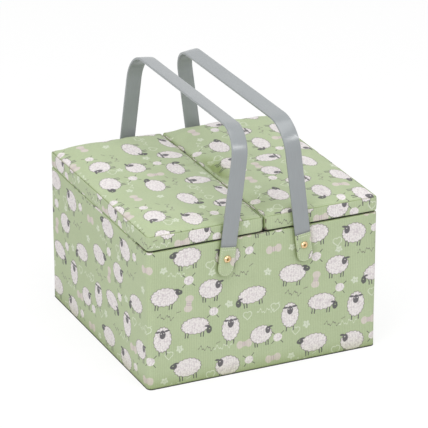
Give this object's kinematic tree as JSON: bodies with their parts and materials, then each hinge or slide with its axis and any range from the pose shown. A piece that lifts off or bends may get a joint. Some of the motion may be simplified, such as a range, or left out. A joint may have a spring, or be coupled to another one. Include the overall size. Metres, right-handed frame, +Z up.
{
  "type": "sewing box",
  "caption": "Square padded sewing box covered in printed cotton, with lids hinged on opposite sides, lift-out compartment trays and folding strap handles.",
  "frame": {"origin": "bottom centre of the box, on the surface that it stands on", "axes": "+X to the right along the front, +Y from the front to the back, +Z up; the handles' rivets are on lines along Y and the lids meet in the plane x = 0"},
  "size_m": [0.3, 0.3134, 0.3105],
  "materials": {
    "printed_cotton": "woven printed cotton, matt",
    "lining_cotton": "plain woven lining",
    "base_cloth": "black non-woven base cloth",
    "pincushion_cloth": "plain woven cotton",
    "white_elastic": "ribbed elastic",
    "covering_board": "grey board",
    "grey_sleeve": "smooth satin vinyl sleeve",
    "spring_steel": "spring steel strip",
    "plated_steel": "plated",
    "spacer_plastic": "moulded nylon",
    "copper_rivet": "polished copper",
    "tray_plastic": "moulded, satin",
    "divider_plastic": "moulded, satin"
  },
  "bodies": {
    "box": {"base_cover": "base_cloth", "base_board": "covering_board", "front_board": "covering_board", "back_board": "covering_board", "left_board": "covering_board", "right_board": "covering_board", "outer_cover": "printed_cotton", "front_liner": "lining_cotton", "back_liner": "lining_cotton", "left_liner": "lining_cotton", "right_liner": "lining_cotton", "floor_lining": "lining_cotton", "rim_lining": "lining_cotton", "left_hinge_fold": "printed_cotton", "right_hinge_fold": "printed_cotton", "rivet_front_left": "copper_rivet", "rivet_spacer_front_left": "spacer_plastic", "rivet_washer_front_left": "plated_steel", "rivet_front_right": "copper_rivet", "rivet_spacer_front_right": "spacer_plastic", "rivet_washer_front_right": "plated_steel", "rivet_back_left": "copper_rivet", "rivet_spacer_back_left": "spacer_plastic", "rivet_washer_back_left": "plated_steel", "rivet_back_right": "copper_rivet", "rivet_spacer_back_right": "spacer_plastic", "rivet_washer_back_right": "plated_steel"},
    "left_lid": {"left_lid_cover": "printed_cotton", "left_lid_frame": "covering_board", "left_lid_board": "covering_board", "left_lid_lining": "lining_cotton", "left_lid_pad": "printed_cotton", "pincushion": "pincushion_cloth"},
    "left_handle": {"left_handle_sleeve": "grey_sleeve", "left_handle_core": "spring_steel", "left_handle_front_tab": "printed_cotton", "left_handle_back_tab": "printed_cotton"},
    "left_tray_set": {"left_tray": "tray_plastic", "left_tray_front_divider": "divider_plastic", "left_tray_back_divider": "divider_plastic"},
    "right_lid": {"right_lid_cover": "printed_cotton", "right_lid_frame": "covering_board", "right_lid_board": "covering_board", "right_lid_lining": "lining_cotton", "right_lid_pad": "printed_cotton", "lid_pocket_panel": "lining_cotton", "lid_pocket_gusset": "lining_cotton", "pocket_elastic": "white_elastic"},
    "right_handle": {"right_handle_sleeve": "grey_sleeve", "right_handle_core": "spring_steel", "right_handle_front_tab": "printed_cotton", "right_handle_back_tab": "printed_cotton"},
    "right_tray_set": {"right_tray": "tray_plastic", "right_tray_front_divider": "divider_plastic", "right_tray_back_divider": "divider_plastic"}
  },
  "joints": [
    {"name": "left_lid_hinge", "type": "hinge", "parent": "box", "child": "left_lid", "pos_m": [-0.1503, 0, 0.17675], "axis": [0, -1, 0], "range_deg": [0, 170]},
    {"name": "left_handle_swing", "type": "hinge", "parent": "box", "child": "left_handle", "pos_m": [-0.05, 0, 0.153], "axis": [0, -1, 0], "range_deg": [-6.5, 120]},
    {"name": "left_tray_lift", "type": "slide", "parent": "box", "child": "left_tray_set", "axis": [0, 0, 1], "range_m": [0, 0.06]},
    {"name": "right_lid_hinge", "type": "hinge", "parent": "box", "child": "right_lid", "pos_m": [0.1503, 0, 0.17675], "axis": [0, 1, 0], "range_deg": [0, 170]},
    {"name": "right_handle_swing", "type": "hinge", "parent": "box", "child": "right_handle", "pos_m": [0.05, 0, 0.153], "axis": [0, 1, 0], "range_deg": [-6.5, 120]},
    {"name": "right_tray_lift", "type": "slide", "parent": "box", "child": "right_tray_set", "axis": [0, 0, 1], "range_m": [0, 0.06]}
  ],
  "couplings": [
    {"joint": "left_tray_lift", "follows": "left_lid_hinge", "m_per_rad": 0.02},
    {"joint": "right_tray_lift", "follows": "right_lid_hinge", "m_per_rad": 0.02}
  ]
}
